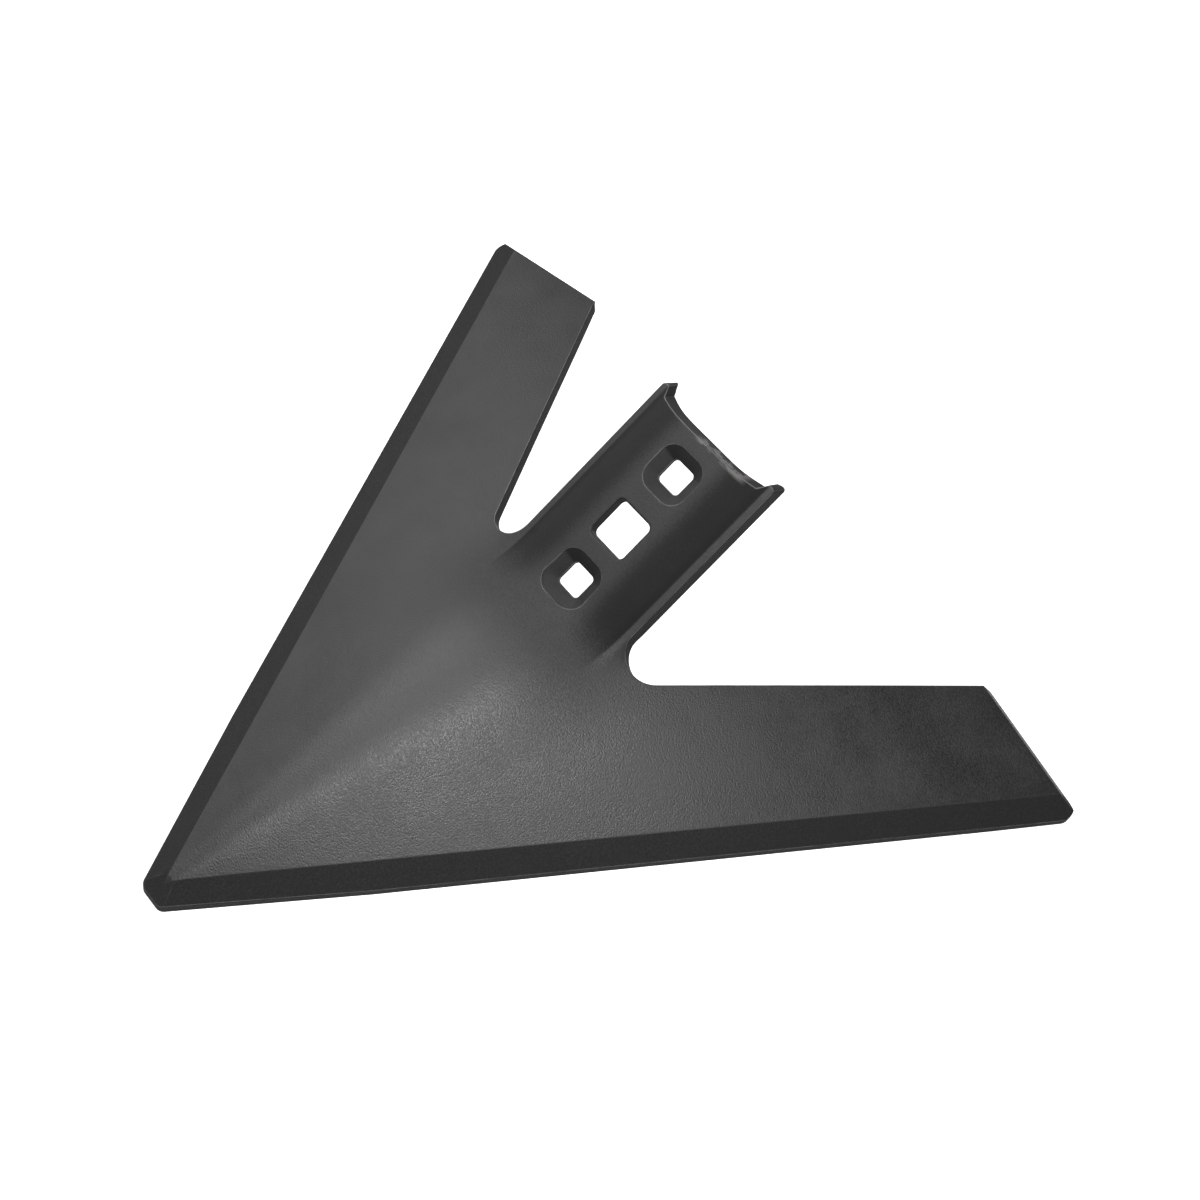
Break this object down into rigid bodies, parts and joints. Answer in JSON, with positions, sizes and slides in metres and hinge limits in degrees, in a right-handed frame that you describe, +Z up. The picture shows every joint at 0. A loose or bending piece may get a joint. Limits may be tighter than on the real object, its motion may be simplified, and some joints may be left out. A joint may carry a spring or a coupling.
{
  "type": "cultivator sweep",
  "caption": "V-shaped tillage sweep pressed from one steel plate, with bevelled cutting edges, crowned wings and an inclined stem with square bolt holes.",
  "frame": {"origin": "bottom centre of the part's box: on the plane of the cutting edges, midway between nose and wing ends, on the mirror plane", "axes": "+X to the right wing seen from behind, +Y rearwards, away from the line of travel, +Z up, square to the plane of the cutting edges"},
  "size_m": [0.383, 0.3299, 0.0982],
  "materials": {
    "paint": "satin"
  },
  "bodies": {
    "root": {"sweep": "paint"}
  },
  "joints": []
}
